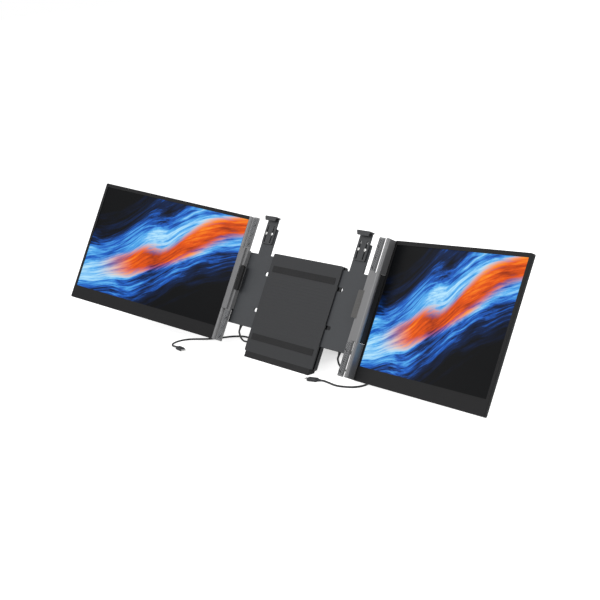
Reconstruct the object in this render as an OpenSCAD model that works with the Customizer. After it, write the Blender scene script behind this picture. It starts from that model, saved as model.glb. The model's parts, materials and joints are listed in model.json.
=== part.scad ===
// Laptop screen extender: two side screens on a bracket that grips a laptop's lid.
// +Z is up and +Y points away from the user. The origin is on the desk, under the
// middle of the foot. Most pieces are drawn upright, in the bracket's own frame: x to
// the right, y to the back from the plane of the lid's back, z up from the screens'
// bottom edge. leaned() then tips that frame back onto the desk.

/* [Pose] */
// Angle by which the bracket leans back from upright
lean_angle = 29.5; // [20:0.5:36]
// Height of the screens' bottom plane over the desk
ride_height = 13; // [11:0.5:18]
// Inward fold of the left screen from in line with the lid
left_fold = 17.8; // [0:0.1:40]
// Inward fold of the right screen from in line with the lid
right_fold = 10.7; // [0:0.1:30]
// Opening angle of the kickstand from the bracket's back
stand_angle = 50; // [42:1:60]

/* [Screens] */
// Width of each screen
screen_width = 394; // [390:1:420]
// Height of each screen
screen_height = 248; // [246:1:262]
// Thickness of each screen
screen_thickness = 6.6; // [6.4:0.1:9]
// Width of the bezel beside the picture
bezel_side = 6; // [5:0.1:12]
// Width of the bezel above the picture
bezel_top = 7; // [7:0.1:12]
// Width of the bezel below the picture
bezel_bottom = 26; // [24:0.5:40]
// Thickness of the bezel's front plate
bezel_plate = 1; // [0.8:0.1:1.2]
// Wall of the bezel's side and of the rear shell
shell_wall = 1.2; // [1:0.1:1.4]
// Depth of the front frame, from the face to the parting line
frame_depth = 3.4; // [3.2:0.1:3.6]
// Radius of the screen's corners
screen_corner = 3; // [2.5:0.1:5]
// Thickness of the display module
module_thickness = 3; // [2.4:0.1:3]
// How far the display module runs past the picture at the sides
module_side = 2.5; // [1.5:0.1:3]
// How far the display module runs past the picture at the top
module_top = 1.5; // [1:0.1:1.5]
// How far the display module runs past the picture at the bottom
module_bottom = 3.5; // [2:0.1:4]

/* [Screen details] */
// Radius of a screw boss in a screen
boss_radius = 2.1; // [2:0.05:2.2]
// Radius of a screen screw's shank
screw_radius = 0.8; // [0.6:0.05:0.9]
// Radius of a screen screw's head
screw_head = 1.5; // [1.2:0.05:1.6]
// Height of a screen screw's head
screw_head_height = 0.7; // [0.5:0.05:0.8]
// Length of the driver board
board_length = 134; // [100:1:150]
// Height of the driver board
board_height = 15; // [12:0.5:16]
// Distance from the screen's outer edge to the power button
power_inset = 54; // [40:1:60]
// Distance from the screen's outer edge to the menu rocker
rocker_inset = 76; // [70:1:90]
// Radius of the power button
button_radius = 3; // [2:0.1:4]
// Length of the menu rocker
rocker_length = 14; // [10:0.5:18]
// Height of the menu rocker
rocker_height = 5.2; // [4:0.1:6]
// How far the buttons stand out of the shell
button_proud = 0.6; // [0.4:0.1:0.8]
// Radius of a bumper on a screen's back
bumper_radius = 4; // [3:0.5:6]
// Height of a bumper on a screen's back
bumper_height = 1.2; // [0.6:0.1:1.4]

/* [Screen hinges] */
// Distance of the hinge axis ahead of the lid's back
axis_ahead = 3; // [2.6:0.1:3.4]
// Distance from the rail's outer edge to the hinge axis
hinge_reach = 9.8; // [9:0.1:14]
// Outer radius of a hinge barrel
barrel_radius = 4.5; // [4.4:0.05:4.55]
// Radius of the hinge pin
pin_radius = 2; // [1.6:0.1:2.2]
// Wall of a bush on the hinge pin
bush_wall = 1.15; // [0.8:0.05:1.2]
// Length of a bush on the hinge pin
bush_length = 14; // [10:1:20]
// Running clearance round the hinge pin
pin_clearance = 0.05; // [0.03:0.01:0.08]
// Length of the lower leaf of a hinge
lower_leaf = 63; // [50:1:75]
// Length of the upper leaf of a hinge
upper_leaf = 63; // [50:1:75]
// Gap between the hinge block and a leaf
section_gap = 0.35; // [0.3:0.05:0.5]
// Distance from the hinge axis back to the left screen's face
left_face = 4.9; // [4.85:0.05:5.4]
// Gap between the two screens when both are folded shut
stack_gap = 2; // [1.8:0.1:3]
// Distance from the hinge axis out to the left screen's edge
left_edge = 3.5; // [3.2:0.1:4.5]
// Distance from the hinge axis out to the right screen's edge
right_edge = 1; // [1:0.1:3]
// Thickness of a leaf's flange inside the screen
flange_thickness = 1; // [0.8:0.05:1]
// How far a leaf's flange runs into the screen
flange_length = 16; // [12:1:17]

/* [Lid that it grips] */
// Width of the laptop lid at the resting arm position
lid_width = 356; // [345:1:370]
// Height of the laptop lid
lid_height = 236; // [230:1:244]
// Thickness of the laptop lid
lid_thickness = 5.2; // [4.9:0.1:5.3]
// Height of the lid's bottom edge over the screens' bottom
lid_bottom = 14; // [10:1:18]

/* [Bracket housing] */
// Width of the housing
housing_width = 210; // [200:1:214]
// Height of the housing's top over the screens' bottom
housing_top = 186; // [184:1:190]
// How far the housing reaches below the screens' bottom
housing_drop = 3; // [2:0.5:4]
// Thickness of the housing's front plate
front_plate = 2.4; // [1.8:0.1:3]
// Depth of the housing's rear cover
rear_depth = 6.4; // [6:0.1:9]
// Wall of the housing's rear cover
rear_wall = 1.8; // [1.4:0.1:2.2]
// Thickness of the grip pads on the housing
pad_thickness = 0.8; // [0.6:0.1:1.2]
// Height of a grip pad
pad_height = 12; // [8:1:20]
// Distance of a grip pad from the housing's upper or lower edge
pad_inset = 23; // [12:1:40]
// Radius of the housing's posts
post_radius = 3.5; // [3:0.1:4]
// Distance of the housing's posts from the middle
post_x = 85; // [80:1:88]
// Width of the foot under the housing
foot_width = 200; // [150:1:204]

/* [Arms] */
// Thickness of an arm
arm_thickness = 3; // [2.4:0.1:3.4]
// Clearance of a sliding piece
slide_clearance = 0.3; // [0.25:0.05:0.4]
// Travel of an arm towards the middle
arm_travel_in = 30; // [10:1:32]
// Travel of an arm outwards
arm_travel_out = 22; // [10:1:26]
// Height of an arm's lower edge
arm_bottom = 40; // [36:1:48]
// Height of an arm's upper edge inside the housing
arm_top = 180; // [174:1:182]
// Gap between the lid's edge and the side rail
rail_gap = 4.7; // [3.2:0.1:6]
// Width of a side rail
rail_width = 14.5; // [12:0.1:16]
// Thickness of a side rail
rail_thickness = 4; // [3:0.1:4]
// Bevel along a side rail's outer back edge
rail_bevel = 2.2; // [0.4:0.1:2.5]
// Distance of a side rail's front ahead of the lid's back
rail_ahead = 4.3; // [4.2:0.05:4.4]
// Height of the grip pattern strip on a rail
strip_height = 0.6; // [0.4:0.1:0.8]
// Radius of the arm screws
arm_screw = 1.5; // [1.2:0.1:1.8]

/* [Clips] */
// Thickness of a clip's lip
lip_thickness = 1.3; // [1:0.05:1.35]
// Height of a side clip
side_clip_height = 49; // [40:1:60]
// Height of a side clip's lower end
side_clip_bottom = 102; // [95:1:110]
// How far a side clip's lip reaches over the lid
side_lip_reach = 3.2; // [2:0.1:5]
// How far the left side clip reaches over its rail
left_clip_cover = 3; // [2:0.1:7]
// How far the right side clip reaches over its rail
right_clip_cover = 7.8; // [2:0.1:7.8]
// Thickness of the rubber lining in the clips
lining = 0.6; // [0.4:0.1:0.8]
// Width of a top clip
top_clip_width = 37; // [34:1:42]
// How much narrower a top clip's lip gets towards its lower corners, at each side
top_clip_slant = 4; // [1:0.5:6]
// Distance of a top clip's middle from the bracket's middle
top_clip_x = 140; // [138:1:142]
// How far a top clip's lip reaches down the lid's front
top_lip_reach = 6; // [4:0.5:9]
// Thickness of a top clip over the lid's edge
top_clip_roof = 2.6; // [2:0.1:3.5]
// Travel of a top clip upwards
top_travel_up = 16; // [8:1:18]
// Travel of a top clip downwards
top_travel_down = 14; // [6:1:14]

/* [Kickstand] */
// Height of the kickstand's pivot over the screens' bottom
stand_pivot = 120; // [110:1:130]
// Width of the kickstand
stand_width = 150; // [120:1:160]
// Thickness of the kickstand
stand_thickness = 3; // [2.4:0.1:4]
// Outer radius of the kickstand's barrel
stand_barrel = 3.2; // [3:0.1:4]
// Radius of the kickstand's pin
stand_pin = 1.5; // [1.2:0.1:1.8]
// Width of the kickstand's barrel
stand_barrel_width = 119; // [90:1:130]

/* [Leads] */
// Diameter of a lead
lead_diameter = 3.5; // [3:0.1:3.8]
// Width of a plug's grip
plug_width = 11.5; // [10:0.1:12.5]
// Thickness of a plug's grip
plug_thickness = 6.5; // [6:0.1:7]
// Length of a plug's grip
plug_length = 20; // [16:0.5:24]
// Length of a plug's strain relief
relief_length = 6.4; // [5:0.1:8]

/* [Hidden] */
$fn = 48;
LEFT = -1;
RIGHT = 1;
fit = 0.02; // clearance of a pressed or screwed fit
screw_play = 0.1; // clearance of a screw in a hole without thread
over = 1; // how far a cutter runs past what it cuts

// Bracket frame: depths from the lid's back plane, positive to the back.
housing_y = pad_thickness;
channel_y = housing_y + front_plate;
arm_y = channel_y + slide_clearance;
arm_back = arm_y + arm_thickness;
cover_y = arm_back + slide_clearance;
housing_back = cover_y + rear_depth;
rail_inner = lid_width / 2 + rail_gap;
rail_outer = rail_inner + rail_width;
rail_y = -rail_ahead;
hinge_x = rail_outer + hinge_reach;
hinge_y = -axis_ahead;
hinge_top = screen_height - 1;
block_bottom = lower_leaf;
block_top = screen_height - upper_leaf;
block_height = block_top - block_bottom;
block_lap = 6.4;
block_inner = rail_outer - block_lap;
block_back = arm_y - 0.1;
lip_back = -lid_thickness - lining - 0.2;
lip_front = lip_back - lip_thickness;

// Housing's posts and their screws.
post_inset = 35;
post_levels = [arm_bottom + post_inset, arm_top - post_inset];
post_seat = 4.2;
post_screw = 1.2;
post_screw_head = 2.8;
post_head_height = 1.5;

// Foot: its underside's middle is the origin.
foot_middle = (housing_y + housing_back) / 2;
lean_y = -(foot_middle - ride_height * sin(lean_angle)) / cos(lean_angle);

// Screens, in their own frame: x out from the inner edge, y back from the face.
display_width = screen_width - 2 * bezel_side;
display_height = screen_height - bezel_top - bezel_bottom;
module_y = bezel_plate + 0.05;
chin_screw_z = 12;
top_screw_z = screen_height - shell_wall - 2;
edge_screw_x = 20;
mid_screw_x = 110;
screw_spots = [
    [edge_screw_x, chin_screw_z], [mid_screw_x, chin_screw_z],
    [screen_width - mid_screw_x, chin_screw_z], [screen_width - edge_screw_x, chin_screw_z],
    [edge_screw_x, top_screw_z], [screen_width / 2, top_screw_z],
    [screen_width - edge_screw_x, top_screw_z]
];
board_x = (screen_width - board_length) / 2;
board_y = bezel_plate + 2.3;
board_z = 4;
board_thickness = 1;
// Chips on the back of the driver board: distance from its end, level, width, height, thickness.
chips = [[56, 3, 9, 9, 0.8], [78, 4, 6, 6, 0.7], [27, 5, 20, 3.5, 0.9]];
// The picture cable's connector on its front, given in the same way.
cable_connector = [47, 10, 30, 3.5, 1.4];
power_x = screen_width - power_inset;
rocker_x = screen_width - rocker_inset;
button_z = chin_screw_z;
button_clearance = 0.15;
flange_y = module_y + module_thickness + 0.2;
flange_inset = 4;
bumper_inset = 14;

// Hinge leaves and bushes.
bush_outer = pin_radius + pin_clearance + bush_wall;
leaf_end = 0.3;
pin_end = 6;
leaf_floor = 5.5;

// Kickstand, folded straight down in its own frame.
stand_y = housing_back + stand_barrel + 0.4;
stand_open = stand_angle - lean_angle;
stand_pivot_over_desk = ride_height - stand_y * sin(lean_angle) + stand_pivot * cos(lean_angle);
stand_tip_height = 3;
stand_length = (stand_pivot_over_desk - stand_tip_height) / cos(stand_open);
stand_lug = 8;
stand_lug_gap = 0.4;
stand_shoulder = 5;

// Sockets and leads.
port_x = 153;
port_y = arm_back + 4.5;
port_z = 60;
port_box_width = 26;
port_box_depth = 9;
port_box_height = 24;
socket_width = 9;
socket_height = 3.2;
socket_wall = 0.3;
socket_depth = 7.5;
tip_width = 8.2;
tip_height = 2.4;
tip_length = 6.5;
tip_bore = 1;

function face(s) = s == LEFT ? left_face : left_face + screen_thickness + stack_gap;
function edge(s) = s == LEFT ? left_edge : right_edge;
function fold(s) = s == LEFT ? left_fold : right_fold;
function clip_cover(s) = s == LEFT ? left_clip_cover : right_clip_cover;

// A point of the bracket's frame, in the desk's frame.
function on_desk(p) = [
    p[0],
    lean_y + p[1] * cos(lean_angle) + p[2] * sin(lean_angle),
    ride_height - p[1] * sin(lean_angle) + p[2] * cos(lean_angle)
];

// Plugs that lie free on the desk: where the lead leaves them, and which way it leaves.
right_plug_spot = [150, -16.5, plug_thickness / 2];
right_plug_turn = 16.5;
left_plug_spot = [-262, -55, plug_thickness / 2];
left_plug_turn = 174;

module leaned() {
    translate([0, lean_y, ride_height]) rotate([-lean_angle, 0, 0]) children();
}

module sided(s) {
    if (s == LEFT) mirror([1, 0, 0]) children();
    else children();
}

module on_hinge(s) {
    leaned() sided(s) translate([hinge_x, hinge_y, 0]) children();
}

module on_screen_hinge(s) {
    on_hinge(s) rotate([0, 0, -fold(s)]) children();
}

module on_screen(s) {
    on_screen_hinge(s) translate([edge(s), face(s), 0]) children();
}

module above_desk() {
    translate([-screen_width, -screen_width, 0]) cube([2 * screen_width, 2 * screen_width, screen_width]);
}

// A rectangle with round corners, from the origin.
module rounded_rect(w, h, r) {
    translate([r, 0]) square([w - 2 * r, h]);
    translate([0, r]) square([w, h - 2 * r]);
    for (x = [r, w - r], y = [r, h - r]) translate([x, y]) circle(r);
}

// A plate with round corners that stands in the x-z plane and is thick along y.
module plate(w, thickness, h, r) {
    translate([0, thickness, 0]) rotate([90, 0, 0]) linear_extrude(thickness) rounded_rect(w, h, r);
}

// A cylinder along y, from y = 0 to its length.
module peg(r, length) {
    rotate([-90, 0, 0]) cylinder(r = r, h = length);
}

// An outline with round ends, centred.
module oblong(w, h) {
    square([w - h, h], center = true);
    for (x = [-1, 1]) translate([x * (w - h) / 2, 0]) circle(h / 2);
}

// ---- Housing ----

module post_spots() {
    for (x = [-post_x, post_x], z = post_levels) translate([x, 0, z]) children();
}

module housing_front() {
    wall = 2.4;
    height = housing_top + housing_drop;
    // The top wall stops short of the towers when the arms are pushed in.
    half_walls = [[-housing_drop, housing_width / 2 - 4],
        [housing_top - wall, top_clip_x - tower_half - arm_travel_in - 1]];
    color("dimgray") leaned() difference() {
        union() {
            translate([-housing_width / 2, housing_y, -housing_drop])
                plate(housing_width, front_plate, height, 4);
            for (w = half_walls) translate([-w[1], channel_y, w[0]])
                cube([2 * w[1], cover_y - channel_y, wall]);
            post_spots() translate([0, channel_y, 0]) peg(post_radius, cover_y - channel_y);
        }
        post_spots() translate([0, channel_y, 0]) peg(post_screw + fit, cover_y);
    }
}

module stand_lugs() {
    for (s = [LEFT, RIGHT])
        translate([s * (stand_barrel_width / 2 + stand_lug_gap + stand_lug / 2), 0, stand_pivot]) {
            translate([-stand_lug / 2, housing_back - over, -stand_barrel])
                cube([stand_lug, stand_y - housing_back + over, 2 * stand_barrel]);
            translate([-stand_lug / 2, stand_y, 0]) rotate([0, 90, 0])
                cylinder(r = stand_barrel, h = stand_lug);
        }
}

module housing_rear() {
    height = housing_top + housing_drop;
    side_wall = 2;
    recess = post_head_height + 0.2;
    color("#2b2c2e") leaned() difference() {
        union() {
            difference() {
                translate([-housing_width / 2, cover_y, -housing_drop])
                    plate(housing_width, rear_depth, height, 4);
                translate([side_wall - housing_width / 2, cover_y - over, side_wall - housing_drop])
                    cube([housing_width - 2 * side_wall, rear_depth - rear_wall + over,
                        height - 2 * side_wall]);
            }
            post_spots() translate([0, cover_y, 0]) peg(post_seat, rear_depth - rear_wall + fit);
            stand_lugs();
        }
        post_spots() {
            translate([0, cover_y - over, 0]) peg(post_screw + 0.4, rear_depth + 2 * over);
            translate([0, housing_back - recess, 0]) peg(post_screw_head + 0.3, recess + over);
        }
        translate([-housing_width / 2, stand_y, stand_pivot]) rotate([0, 90, 0])
            cylinder(r = stand_pin + fit, h = housing_width);
    }
}

module lid_pads() {
    side_inset = 10;
    color("#1c1c1c") leaned()
        for (z = [pad_inset - housing_drop, housing_top - pad_inset - pad_height])
            translate([side_inset - housing_width / 2, 0, z])
                plate(housing_width - 2 * side_inset, pad_thickness, pad_height, 3);
}

module housing_foot() {
    color("#1c1c1c") intersection() {
        leaned() translate([-foot_width / 2, housing_y, -housing_drop - 2 * ride_height])
            cube([foot_width, housing_back - housing_y, 2 * ride_height]);
        above_desk();
    }
}

module housing_screws() {
    head_y = housing_back - post_head_height - 0.1;
    tip_y = channel_y + 1;
    color("silver") leaned() post_spots() {
        translate([0, head_y, 0]) peg(post_screw_head, post_head_height);
        translate([0, tip_y, 0]) peg(post_screw, head_y - tip_y + fit);
    }
}

// ---- Kickstand ----

module on_stand() {
    leaned() translate([0, stand_y, stand_pivot]) rotate([stand_angle, 0, 0]) children();
}

module kickstand_pin() {
    half = stand_barrel_width / 2 + stand_lug_gap + stand_lug - 0.5;
    color("silver") leaned() translate([-half, stand_y, stand_pivot]) rotate([0, 90, 0])
        cylinder(r = stand_pin, h = 2 * half);
}

module kickstand() {
    color("#3a3b3d") on_stand() difference() {
        union() {
            translate([-stand_width / 2, -stand_thickness / 2, -stand_length])
                plate(stand_width, stand_thickness, stand_length - stand_shoulder, 6);
            translate([-stand_barrel_width / 2, -stand_thickness / 2, -stand_shoulder - over])
                cube([stand_barrel_width, stand_thickness, stand_shoulder + over]);
            translate([-stand_barrel_width / 2, 0, 0]) rotate([0, 90, 0])
                cylinder(r = stand_barrel, h = stand_barrel_width);
        }
        translate([-stand_width / 2, 0, 0]) rotate([0, 90, 0])
            cylinder(r = stand_pin + pin_clearance, h = stand_width);
    }
}

module kickstand_foot() {
    grip = 8;
    skin = 1.2;
    reach = 8;
    width = stand_width - 16;
    color("#1c1c1c") intersection() {
        on_stand() difference() {
            translate([-width / 2, -stand_thickness / 2 - skin, -stand_length - reach])
                cube([width, stand_thickness + 2 * skin, grip + reach]);
            translate([-width / 2 - over, -stand_thickness / 2, -stand_length])
                cube([width + 2 * over, stand_thickness, grip + over]);
        }
        above_desk();
    }
}

// ---- Arms ----

arm_inner = 40;
arm_outer = hinge_x - 8;
tower_half = 19;
tower_top = 232;
guide_z = 221;
guide_half = 9;
rail_neck = block_inner - rail_inner - section_gap;

// Screws of the hinge block and of the rail: each lies on the arm and on what it holds.
block_screw_x = block_inner + 5;
block_screw_depth = 4.5;
block_screw_head = 2.6;
block_screw_head_height = 1.3;
rail_screw = 1;
rail_screw_head = 1.9;
rail_screw_head_height = 1;
rail_screw_x = rail_inner + 2.1;
rail_screw_low = block_bottom + 12;
rail_screw_high = min(block_top - 12, arm_top - 7);
block_screw_low = rail_screw_low + 10;
block_screw_high = rail_screw_high - 10;

module block_screw_spots() {
    for (z = [block_screw_low, (block_screw_low + block_screw_high) / 2, block_screw_high])
        translate([block_screw_x, 0, z]) children();
}

module rail_screw_spots() {
    for (z = [rail_screw_low, rail_screw_high]) translate([rail_screw_x, 0, z]) children();
}

module guide_spots() {
    for (side = [-1, 1]) translate([top_clip_x + side * guide_half, 0, guide_z]) children();
}

module arm_plate(s) {
    tower_root = 10;
    slot = 2 * (post_radius + slide_clearance);
    travel = arm_travel_in + arm_travel_out;
    slot_x = post_x + (arm_travel_in - arm_travel_out) / 2;
    color("#55575a") leaned() sided(s) difference() {
        union() {
            translate([arm_inner, arm_y, arm_bottom])
                plate(arm_outer - arm_inner, arm_thickness, arm_top - arm_bottom, 3);
            translate([top_clip_x - tower_half, arm_y, arm_top - tower_root])
                plate(2 * tower_half, arm_thickness, tower_top - arm_top + tower_root, 3);
        }
        // Clear of the gap between the rail and the screen below the hinge block.
        translate([block_inner - 3, arm_y - over, arm_bottom - over])
            cube([arm_outer, arm_thickness + 2 * over, block_bottom - arm_bottom + over]);
        for (z = post_levels)
            translate([slot_x, arm_back + over, z]) rotate([90, 0, 0])
                linear_extrude(arm_thickness + 2 * over) oblong(travel + slot, slot);
        block_screw_spots() translate([0, arm_y - over, 0])
            peg(arm_screw + screw_play, arm_thickness + 2 * over);
        rail_screw_spots() translate([0, arm_y - over, 0])
            peg(rail_screw + screw_play, arm_thickness + 2 * over);
        guide_spots() translate([0, arm_y - over, 0])
            peg(arm_screw + fit, arm_thickness + 2 * over);
    }
}

module side_rail(s) {
    color("#7b7c7e") leaned() sided(s) difference() {
        union() {
            translate([rail_inner, rail_y, 0])
                plate(rail_width, rail_thickness, block_bottom - section_gap, 1.5);
            translate([rail_inner, rail_y, block_top + section_gap])
                plate(rail_width, rail_thickness, hinge_top - block_top - section_gap, 1.5);
            translate([rail_inner, rail_y, 10])
                cube([rail_neck, rail_thickness, screen_height - 20]);
            translate([rail_inner, rail_y, block_bottom + 3])
                cube([rail_neck, block_back + rail_ahead, block_height - 6]);
        }
        rail_screw_spots() translate([0, -over, 0]) peg(rail_screw + fit, block_back + 2 * over);
        translate([rail_outer, rail_y + rail_thickness, -over]) linear_extrude(screen_height + 2 * over)
            polygon([[-rail_bevel - over, over], [over, over], [over, -rail_bevel - over]]);
    }
}

module grip_strips(s) {
    inset = 0.8;
    end_inset = 3;
    strip_y = rail_y - strip_height;
    color("#6b6c6e") leaned() sided(s)
        for (ends = [[0, block_bottom], [block_top, hinge_top]])
            translate([rail_inner + inset, strip_y, ends[0] + end_inset])
                plate(rail_width - 2 * inset, strip_height, ends[1] - ends[0] - 2 * end_inset, 1);
}

module hinge_block(s) {
    front = -barrel_radius;
    inner = block_inner - hinge_x;
    back = block_back - hinge_y;
    outline = [
        [inner, front], [0, front], [0, barrel_radius], [-6, back], [inner, back]
    ];
    color("#808183") on_hinge(s) difference() {
        translate([0, 0, block_bottom]) linear_extrude(block_height) union() {
            circle(barrel_radius);
            polygon(outline);
        }
        translate([0, 0, block_bottom - over])
            cylinder(r = pin_radius + fit, h = block_height + 2 * over);
        translate([-hinge_x, -hinge_y, 0]) block_screw_spots()
            translate([0, block_back - block_screw_depth, 0])
                peg(arm_screw + fit, block_screw_depth + over);
    }
}

module hinge_pin(s) {
    color("silver") on_hinge(s) translate([0, 0, pin_end])
        cylinder(r = pin_radius, h = hinge_top - 2 * pin_end);
}

side_clip_web = 1.7;
side_clip_web_x = lid_width / 2 + lining + 0.7;

module side_clip(s) {
    outer = rail_inner + clip_cover(s);
    color("#242527") leaned() sided(s) translate([0, 0, side_clip_bottom]) {
        // Lip over the lid's front edge.
        translate([lid_width / 2 - side_lip_reach, lip_front, 0])
            plate(outer - lid_width / 2 + side_lip_reach, lip_thickness, side_clip_height, 1.5);
        // Body on the rail's front face.
        translate([side_clip_web_x, lip_front + lip_thickness / 2, 1])
            cube([outer - side_clip_web_x, rail_y - 0.05 - lip_front - lip_thickness / 2,
                side_clip_height - 2]);
        // Web beside the lid's edge.
        translate([side_clip_web_x, lip_back - 0.2, 1])
            cube([side_clip_web, -lip_back - 0.1, side_clip_height - 2]);
    }
}

module side_clip_pad(s) {
    reach = side_lip_reach - 0.4;
    color("#111111") leaned() sided(s) translate([0, 0, side_clip_bottom + 1.5]) {
        translate([lid_width / 2 - reach, lip_back, 0])
            cube([side_clip_web_x - lid_width / 2 + reach, lining, side_clip_height - 3]);
        translate([side_clip_web_x - lining, lip_back, 0])
            cube([lining, -lip_back - 0.4, side_clip_height - 3]);
    }
}

module arm_screws(s) {
    block_screw_tip = block_back - block_screw_depth + 0.5;
    guide_head_y = 0.1;
    guide_head_height = 0.5;
    color("silver") leaned() sided(s) {
        block_screw_spots() {
            translate([0, arm_back, 0]) peg(block_screw_head, block_screw_head_height);
            translate([0, block_screw_tip, 0]) peg(arm_screw, arm_back - block_screw_tip + fit);
        }
        rail_screw_spots() {
            translate([0, arm_back, 0]) peg(rail_screw_head, rail_screw_head_height);
            peg(rail_screw, arm_back + fit);
        }
        guide_spots() {
            translate([0, guide_head_y, 0]) peg(2.8, guide_head_height);
            translate([0, guide_head_y + guide_head_height - fit, 0]) peg(arm_screw, arm_back - 0.8);
        }
    }
}

// ---- Top clips ----

clip_blade_y = arm_y - slide_clearance - front_plate;
clip_blade_bottom = housing_top + top_travel_down + 1;
lid_top = lid_bottom + lid_height;
clip_roof_z = lid_top + lining + 0.2;
blade_half = 16;

module top_clip(s) {
    slot = 2 * (arm_screw + 0.2);
    travel = top_travel_up + top_travel_down;
    slot_z = guide_z + (top_travel_down - top_travel_up) / 2;
    left_side = top_clip_x - top_clip_width / 2;
    lip_height = top_lip_reach + top_clip_roof;
    color("#2b2c2e") leaned() sided(s) difference() {
        union() {
            translate([top_clip_x - blade_half, clip_blade_y, clip_blade_bottom])
                plate(2 * blade_half, front_plate, clip_roof_z + 1 - clip_blade_bottom, 2);
            translate([left_side, lip_front, clip_roof_z])
                plate(top_clip_width, clip_blade_y + front_plate - lip_front, top_clip_roof, 1.2);
            translate([left_side, lip_back, clip_roof_z - top_lip_reach]) rotate([90, 0, 0])
                linear_extrude(lip_thickness) polygon([
                    [top_clip_slant, 0], [top_clip_width - top_clip_slant, 0],
                    [top_clip_width, top_lip_reach + 0.4], [top_clip_width - 1.2, lip_height],
                    [1.2, lip_height], [0, top_lip_reach + 0.4]
                ]);
        }
        for (side = [-1, 1])
            translate([top_clip_x + side * guide_half, clip_blade_y + front_plate + over, slot_z])
                rotate([90, 90, 0]) linear_extrude(front_plate + 2 * over) oblong(travel + slot, slot);
    }
}

module top_clip_pad(s) {
    left_side = top_clip_x - top_clip_width / 2 + top_clip_slant + 0.5;
    width = top_clip_width - 2 * top_clip_slant - 1;
    color("#111111") leaned() sided(s) {
        translate([left_side, lip_back + lining, clip_roof_z - lining])
            cube([width, -lip_back - lining, lining]);
        translate([left_side, lip_back, clip_roof_z - top_lip_reach + 1])
            cube([width, lining, top_lip_reach - 1]);
    }
}

// ---- Screens ----

module front_frame(s) {
    color("#2a2a2b") on_screen(s) difference() {
        union() {
            difference() {
                plate(screen_width, frame_depth, screen_height, screen_corner);
                translate([shell_wall, bezel_plate, shell_wall])
                    plate(screen_width - 2 * shell_wall, frame_depth, screen_height - 2 * shell_wall,
                        screen_corner - shell_wall + 0.2);
                translate([bezel_side, -over, bezel_bottom])
                    cube([display_width, frame_depth, display_height]);
            }
            for (p = screw_spots) translate([p[0], bezel_plate / 2, p[1]])
                peg(boss_radius, frame_depth - bezel_plate / 2);
        }
        for (p = screw_spots) translate([p[0], bezel_plate + 0.3, p[1]])
            peg(screw_radius + fit, frame_depth);
    }
}

module display(s) {
    color("#0a0f1c") on_screen(s)
        translate([bezel_side - module_side, module_y, bezel_bottom - module_bottom])
            cube([display_width + 2 * module_side, module_thickness,
                display_height + module_top + module_bottom]);
}

// The lower and the upper leaf of a hinge, each with its bore's floor at its far end.
module at_leaves() {
    for (leaf = [[leaf_end, block_bottom - section_gap, leaf_floor],
        [block_top + section_gap, hinge_top - leaf_end, -over]])
        translate([0, 0, leaf[0]]) {
            $leaf_length = leaf[1] - leaf[0];
            $bore_start = leaf[2];
            children();
        }
}

module rear_shell(s) {
    skin_y = screen_thickness - shell_wall;
    spine = min(edge(s), shell_wall);
    color("#1f2022") on_screen(s) difference() {
        union() {
            difference() {
                translate([0, frame_depth, 0])
                    plate(screen_width, screen_thickness - frame_depth, screen_height, screen_corner);
                translate([shell_wall, frame_depth - over, shell_wall])
                    plate(screen_width - 2 * shell_wall, skin_y - frame_depth + over,
                        screen_height - 2 * shell_wall, screen_corner - shell_wall + 0.2);
            }
            for (p = screw_spots) translate([p[0], frame_depth, p[1]])
                peg(boss_radius, skin_y - frame_depth + fit);
            // Spine between the leaves, clear of the hinge block's barrel.
            translate([-spine, barrel_radius + 0.5 - face(s), block_bottom])
                cube([spine - fit, screen_thickness + face(s) - barrel_radius - 0.5, block_height]);
            translate([-spine, frame_depth, block_bottom])
                cube([spine + over, screen_thickness - frame_depth, block_height]);
            // Seats of the driver board.
            for (x = [board_x + 5, board_x + board_length - 5])
                translate([x, board_y + board_thickness + 0.05, board_z + board_height / 2])
                    peg(2, skin_y - board_y - board_thickness);
        }
        for (p = screw_spots) translate([p[0], 0, p[1]]) {
            peg(screw_radius + 0.1, screen_thickness + over);
            translate([0, screen_thickness - screw_head_height - 0.1, 0]) peg(screw_head + 0.1, 2);
        }
        translate([power_x, 0, button_z]) peg(button_radius + button_clearance, screen_thickness + over);
        translate([rocker_x - rocker_length / 2 - 0.3, 0, button_z - rocker_height / 2 - 0.3])
            cube([rocker_length + 0.6, screen_thickness + over, rocker_height + 0.6]);
        // Slots for the hinge leaves' flanges.
        at_leaves() translate([-over, flange_y - 0.1, flange_inset - 0.3])
            cube([shell_wall + 2 * over, flange_thickness + 0.2,
                $leaf_length - 2 * flange_inset + 0.6]);
    }
}

module driver_board(s) {
    color("#1d5a33") on_screen(s) translate([board_x, board_y, board_z]) {
        cube([board_length, board_thickness, board_height]);
        for (chip = chips) translate([chip[0], board_thickness - fit, chip[1]])
            cube([chip[2], chip[4], chip[3]]);
        translate([cable_connector[0], fit - cable_connector[4], cable_connector[1]])
            cube([cable_connector[2], cable_connector[4], cable_connector[3]]);
    }
}

module hinge_leaves(s) {
    reach = face(s) + screen_thickness - 0.2;
    web = [
        [-barrel_radius + 0.6, 2.2], [barrel_radius - 0.3, 1.6], [edge(s), face(s)],
        [edge(s), reach], [edge(s) - 2.6, reach]
    ];
    color("#808183") on_screen_hinge(s) at_leaves() difference() {
        union() {
            linear_extrude($leaf_length) union() {
                circle(barrel_radius);
                polygon(web);
            }
            translate([edge(s) - over, face(s) + flange_y, flange_inset])
                cube([flange_length + over, flange_thickness, $leaf_length - 2 * flange_inset]);
        }
        translate([0, 0, $bore_start])
            cylinder(r = bush_outer + fit, h = $leaf_length - leaf_floor + over);
    }
}

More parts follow.
